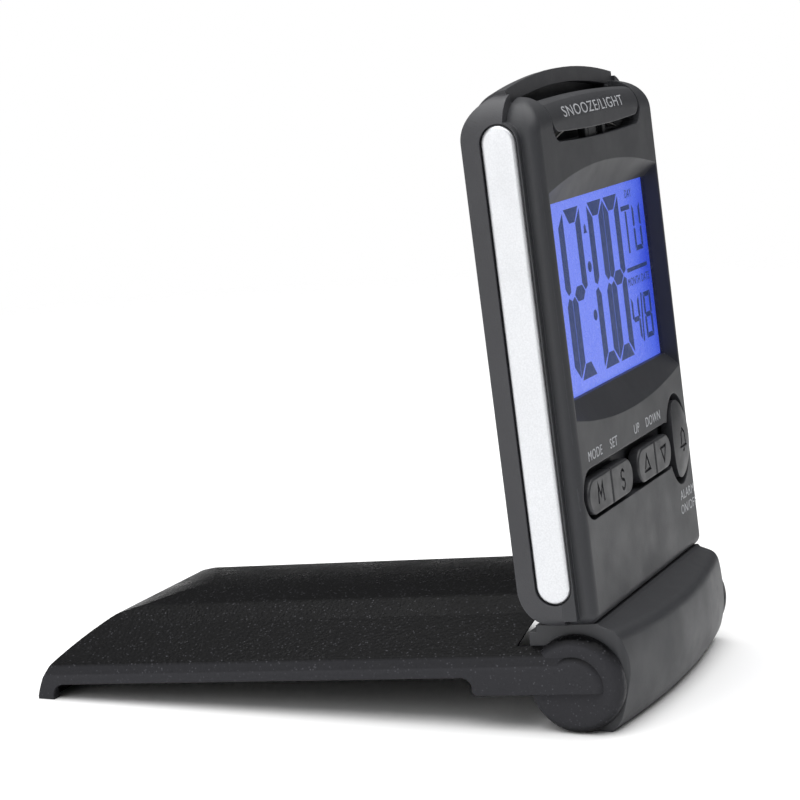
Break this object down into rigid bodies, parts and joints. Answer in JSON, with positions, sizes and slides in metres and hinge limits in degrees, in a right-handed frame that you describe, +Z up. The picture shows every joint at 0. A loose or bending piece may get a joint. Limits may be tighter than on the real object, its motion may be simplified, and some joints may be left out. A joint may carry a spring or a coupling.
{
  "type": "folding travel alarm clock",
  "caption": "Folding travel alarm clock: leaning body with blue digital display, front buttons and snooze bar, and a hinged lid opened flat behind it as a foot.",
  "frame": {"origin": "middle of the footprint, on the surface that the clock stands on", "axes": "X to the right as seen by somebody facing the display, Y from the display towards the open lid's free end, Z up"},
  "size_m": [0.068, 0.12, 0.114],
  "materials": {
    "case_front": "fine moulded texture",
    "case_rear": "fine moulded texture",
    "hinge_cover": "fine moulded texture",
    "lid": "coarse moulded grain",
    "trim": "silver satin",
    "window": "clear",
    "lcd": "blue back-lit",
    "light_guide": "frosted",
    "inner_frame": "matt",
    "led": "clear",
    "connector": "matt",
    "board": "solder mask",
    "resin": "black",
    "metal": "plated",
    "membrane": "matt",
    "buttons": "matt",
    "snooze": "fine moulded texture",
    "sounder": "satin",
    "cell": "sleeve"
  },
  "bodies": {
    "case": {"front_bezel": "case_front", "rear_case": "case_rear", "hinge_block": "hinge_cover", "side_trim_left": "trim", "side_trim_right": "trim", "display_window": "window", "lcd_panel": "lcd", "light_guide": "light_guide", "display_frame": "inner_frame", "backlight_led": "led", "connector_strip": "connector", "circuit_board": "board", "controller_chip": "resin", "clock_crystal": "metal", "keypad_membrane": "membrane", "snooze_spring": "metal", "snooze_switch": "resin", "sounder_disc": "sounder", "sounder_ring": "inner_frame", "battery_cell": "cell", "battery_contact_plate": "metal", "battery_contact_spring": "metal", "case_screws": "metal", "detent_leaf": "metal", "leaf_clamp": "inner_frame"},
    "mode_key": {"mode_button": "buttons"},
    "set_key": {"set_button": "buttons"},
    "up_key": {"up_button": "buttons"},
    "down_key": {"down_button": "buttons"},
    "alarm_key": {"alarm_button": "buttons"},
    "snooze_bar": {"snooze_button": "snooze"},
    "battery_flap": {"battery_door": "case_rear"},
    "lid": {"lid_shell": "lid", "hinge_pin_left": "metal", "hinge_pin_right": "metal", "detent_cam_left": "inner_frame", "detent_cam_right": "inner_frame"}
  },
  "joints": [
    {"name": "lid_hinge", "type": "hinge", "parent": "case", "child": "lid", "pos_m": [0, -0.0489, 0.00872], "axis": [-1, 0, 0], "range_deg": [0, 270]},
    {"name": "battery_flap_hinge", "type": "hinge", "parent": "case", "child": "battery_flap", "pos_m": [0, -0.03943, 0.02275], "axis": [-1, 0, 0], "range_deg": [0, 70]},
    {"name": "snooze_press", "type": "slide", "parent": "case", "child": "snooze_bar", "axis": [0, -0.075, -0.9972], "range_m": [0, 0.0008], "stiffness_N_per_m": 1200},
    {"name": "mode_press", "type": "slide", "parent": "case", "child": "mode_key", "axis": [0, 0.9972, -0.075], "range_m": [0, 0.0007], "stiffness_N_per_m": 900},
    {"name": "set_press", "type": "slide", "parent": "case", "child": "set_key", "axis": [0, 0.9972, -0.075], "range_m": [0, 0.0007], "stiffness_N_per_m": 900},
    {"name": "up_press", "type": "slide", "parent": "case", "child": "up_key", "axis": [0, 0.9972, -0.075], "range_m": [0, 0.0007], "stiffness_N_per_m": 900},
    {"name": "down_press", "type": "slide", "parent": "case", "child": "down_key", "axis": [0, 0.9972, -0.075], "range_m": [0, 0.0007], "stiffness_N_per_m": 900},
    {"name": "alarm_press", "type": "slide", "parent": "case", "child": "alarm_key", "axis": [0, 0.9972, -0.075], "range_m": [0, 0.0007], "stiffness_N_per_m": 900}
  ]
}
